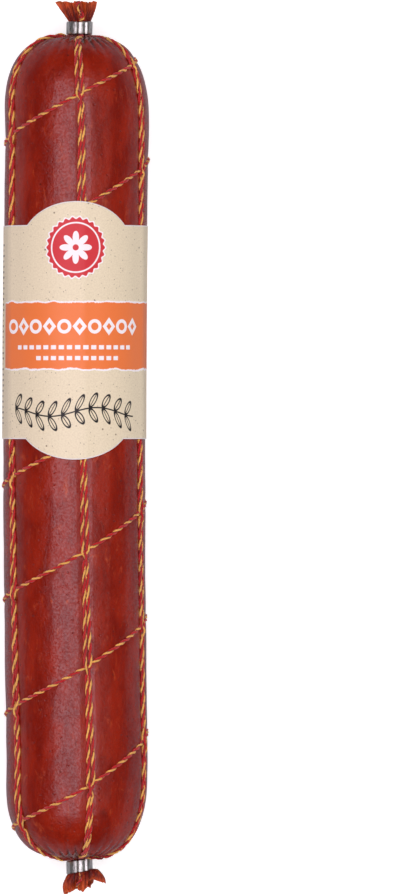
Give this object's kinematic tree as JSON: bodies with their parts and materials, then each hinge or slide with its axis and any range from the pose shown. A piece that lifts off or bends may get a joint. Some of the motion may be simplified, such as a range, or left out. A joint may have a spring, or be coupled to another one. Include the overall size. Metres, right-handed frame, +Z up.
{
  "type": "cured sausage",
  "caption": "Long round cured sausage in a glossy smoked casing, gathered and clipped at both ends, bound in a twine net, with a wrap-around paper label.",
  "frame": {"origin": "on the surface the sausage rests on, under the middle of its box", "axes": "+Y along the sausage to its head end, +Z up; the label's printed front faces +Z"},
  "size_m": [0.0578, 0.3492, 0.0556],
  "materials": {
    "casing": "smooth glossy smoked sausage skin, mottled dark red",
    "twine": "two-ply cotton twine, one red ply and one yellow ply",
    "clip": "bare rolled aluminium",
    "label": "matt cream paper with an orange band"
  },
  "bodies": {
    "root": {"filled_casing": "casing", "head_clip": "clip", "foot_clip": "clip", "spiral_twine": "twine", "long_twine_1_left": "twine", "long_twine_1_right": "twine", "long_twine_2_left": "twine", "long_twine_2_right": "twine", "long_twine_3_left": "twine", "long_twine_3_right": "twine", "long_twine_4_left": "twine", "long_twine_4_right": "twine", "long_twine_5_left": "twine", "long_twine_5_right": "twine", "paper_label": "label"}
  },
  "joints": []
}
